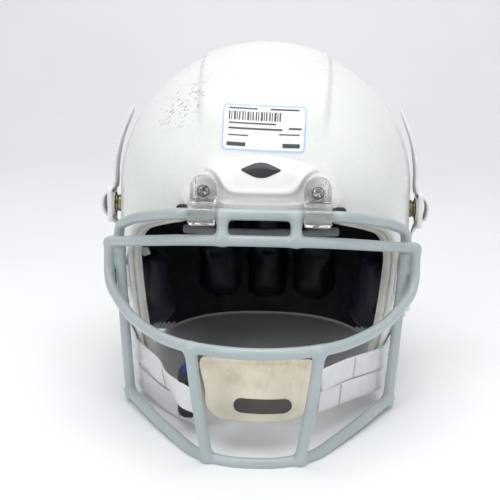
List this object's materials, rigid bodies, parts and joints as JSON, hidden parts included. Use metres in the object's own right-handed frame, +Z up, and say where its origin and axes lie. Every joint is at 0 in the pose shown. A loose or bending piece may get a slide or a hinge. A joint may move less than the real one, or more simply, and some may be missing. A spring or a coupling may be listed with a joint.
{
  "type": "american football helmet",
  "caption": "Youth american football helmet: white shell, grey wire faceguard on clear brow clips, inner pads, cream chin cup on a four-point webbing strap.",
  "frame": {"origin": "Middle of the footprint, on the surface that the helmet stands on.", "axes": "+Z up, -Y is the face side, +X is to the right of a viewer who faces the faceguard; left and right in the node names are that viewer's."},
  "size_m": [0.2296, 0.3419, 0.2457],
  "materials": {
    "shell_white": "satin-gloss painted polycarbonate",
    "trim_white": "glossy moulded vinyl",
    "brow_rubber": "soft dark rubber",
    "badge_dark": "matt decal",
    "label_paper": "printed paper label",
    "guard_coat": "dip-coated steel wire",
    "clear_plastic": "clear moulded plastic",
    "clip_white": "moulded nylon",
    "screw_steel": "zinc-plated steel",
    "nut_steel": "zinc-plated steel",
    "stud_metal": "nickel-plated brass",
    "socket_metal": "nickel-plated brass",
    "buckle_white": "moulded nylon",
    "webbing_white": "woven nylon webbing",
    "pad_vinyl": "embossed dark vinyl over foam",
    "pad_grey": "grey vinyl over foam",
    "base_black": "moulded plastic",
    "puck_rubber": "moulded elastomer",
    "cup_cream": "worn moulded plastic",
    "cup_foam": "knit-faced foam",
    "mark_dark": "printed mark"
  },
  "bodies": {
    "shell": {"brow_badge": "badge_dark", "brow_plate": "trim_white", "brow_seal": "brow_rubber", "crown_pad": "pad_vinyl", "crown_pucks": "puck_rubber", "front_pad": "pad_vinyl", "front_pad_band": "pad_grey", "jaw_pad_base_left": "base_black", "jaw_pad_base_right": "base_black", "jaw_pad_left": "pad_vinyl", "jaw_pad_right": "pad_vinyl", "loop_clip_left": "clear_plastic", "loop_clip_nuts": "nut_steel", "loop_clip_right": "clear_plastic", "loop_clip_screws": "screw_steel", "price_label": "label_paper", "rear_bumper": "trim_white", "rear_pad_centre": "pad_vinyl", "rear_pad_left": "pad_vinyl", "rear_pad_right": "pad_vinyl", "shell": "shell_white", "side_clip_left": "clip_white", "side_clip_nuts": "nut_steel", "side_clip_right": "clip_white", "side_clip_screws": "screw_steel", "side_pad_left": "pad_vinyl", "side_pad_right": "pad_vinyl", "snap_stud_nuts": "nut_steel", "snap_studs": "stud_metal", "strap_high_left": "webbing_white", "strap_high_right": "webbing_white", "strap_low_left": "webbing_white", "strap_low_right": "webbing_white"},
    "faceguard": {"anchor_wire_left": "guard_coat", "anchor_wire_right": "guard_coat", "bottom_bar": "guard_coat", "brow_strut_left": "guard_coat", "brow_strut_right": "guard_coat", "front_strut_left": "guard_coat", "front_strut_right": "guard_coat", "lower_brow_wire": "guard_coat", "mid_bar": "guard_coat", "side_bar_left": "guard_coat", "side_bar_right": "guard_coat", "upper_brow_wire": "guard_coat"},
    "chin_cup": {"chin_cup": "cup_cream", "chin_cup_mark": "mark_dark", "chin_cup_pad": "cup_foam"},
    "snap_high_left": {"snap_buckle_high_left": "buckle_white", "snap_socket_high_left": "socket_metal"},
    "snap_high_right": {"snap_buckle_high_right": "buckle_white", "snap_socket_high_right": "socket_metal"},
    "snap_low_left": {"snap_buckle_low_left": "buckle_white", "snap_socket_low_left": "socket_metal"},
    "snap_low_right": {"snap_buckle_low_right": "buckle_white", "snap_socket_low_right": "socket_metal"}
  },
  "joints": [
    {"name": "faceguard_lift", "type": "hinge", "parent": "shell", "child": "faceguard", "pos_m": [0, -0.10616, 0.143], "axis": [-1, 0, 0], "range_deg": [0, 60]},
    {"name": "chin_cup_lift", "type": "hinge", "parent": "shell", "child": "chin_cup", "pos_m": [0, 0.00884, 0.129], "axis": [-1, 0, 0], "range_deg": [0, 7], "deforming": ["strap_high_left", "strap_high_right", "strap_low_left", "strap_low_right"]},
    {"name": "snap_high_left_pull", "type": "slide", "parent": "shell", "child": "snap_high_left", "axis": [-1, 0, 0], "range_m": [0, 0.012]},
    {"name": "snap_high_right_pull", "type": "slide", "parent": "shell", "child": "snap_high_right", "axis": [1, 0, 0], "range_m": [0, 0.012]},
    {"name": "snap_low_left_pull", "type": "slide", "parent": "shell", "child": "snap_low_left", "axis": [-1, 0, 0], "range_m": [0, 0.012]},
    {"name": "snap_low_right_pull", "type": "slide", "parent": "shell", "child": "snap_low_right", "axis": [1, 0, 0], "range_m": [0, 0.012]}
  ]
}
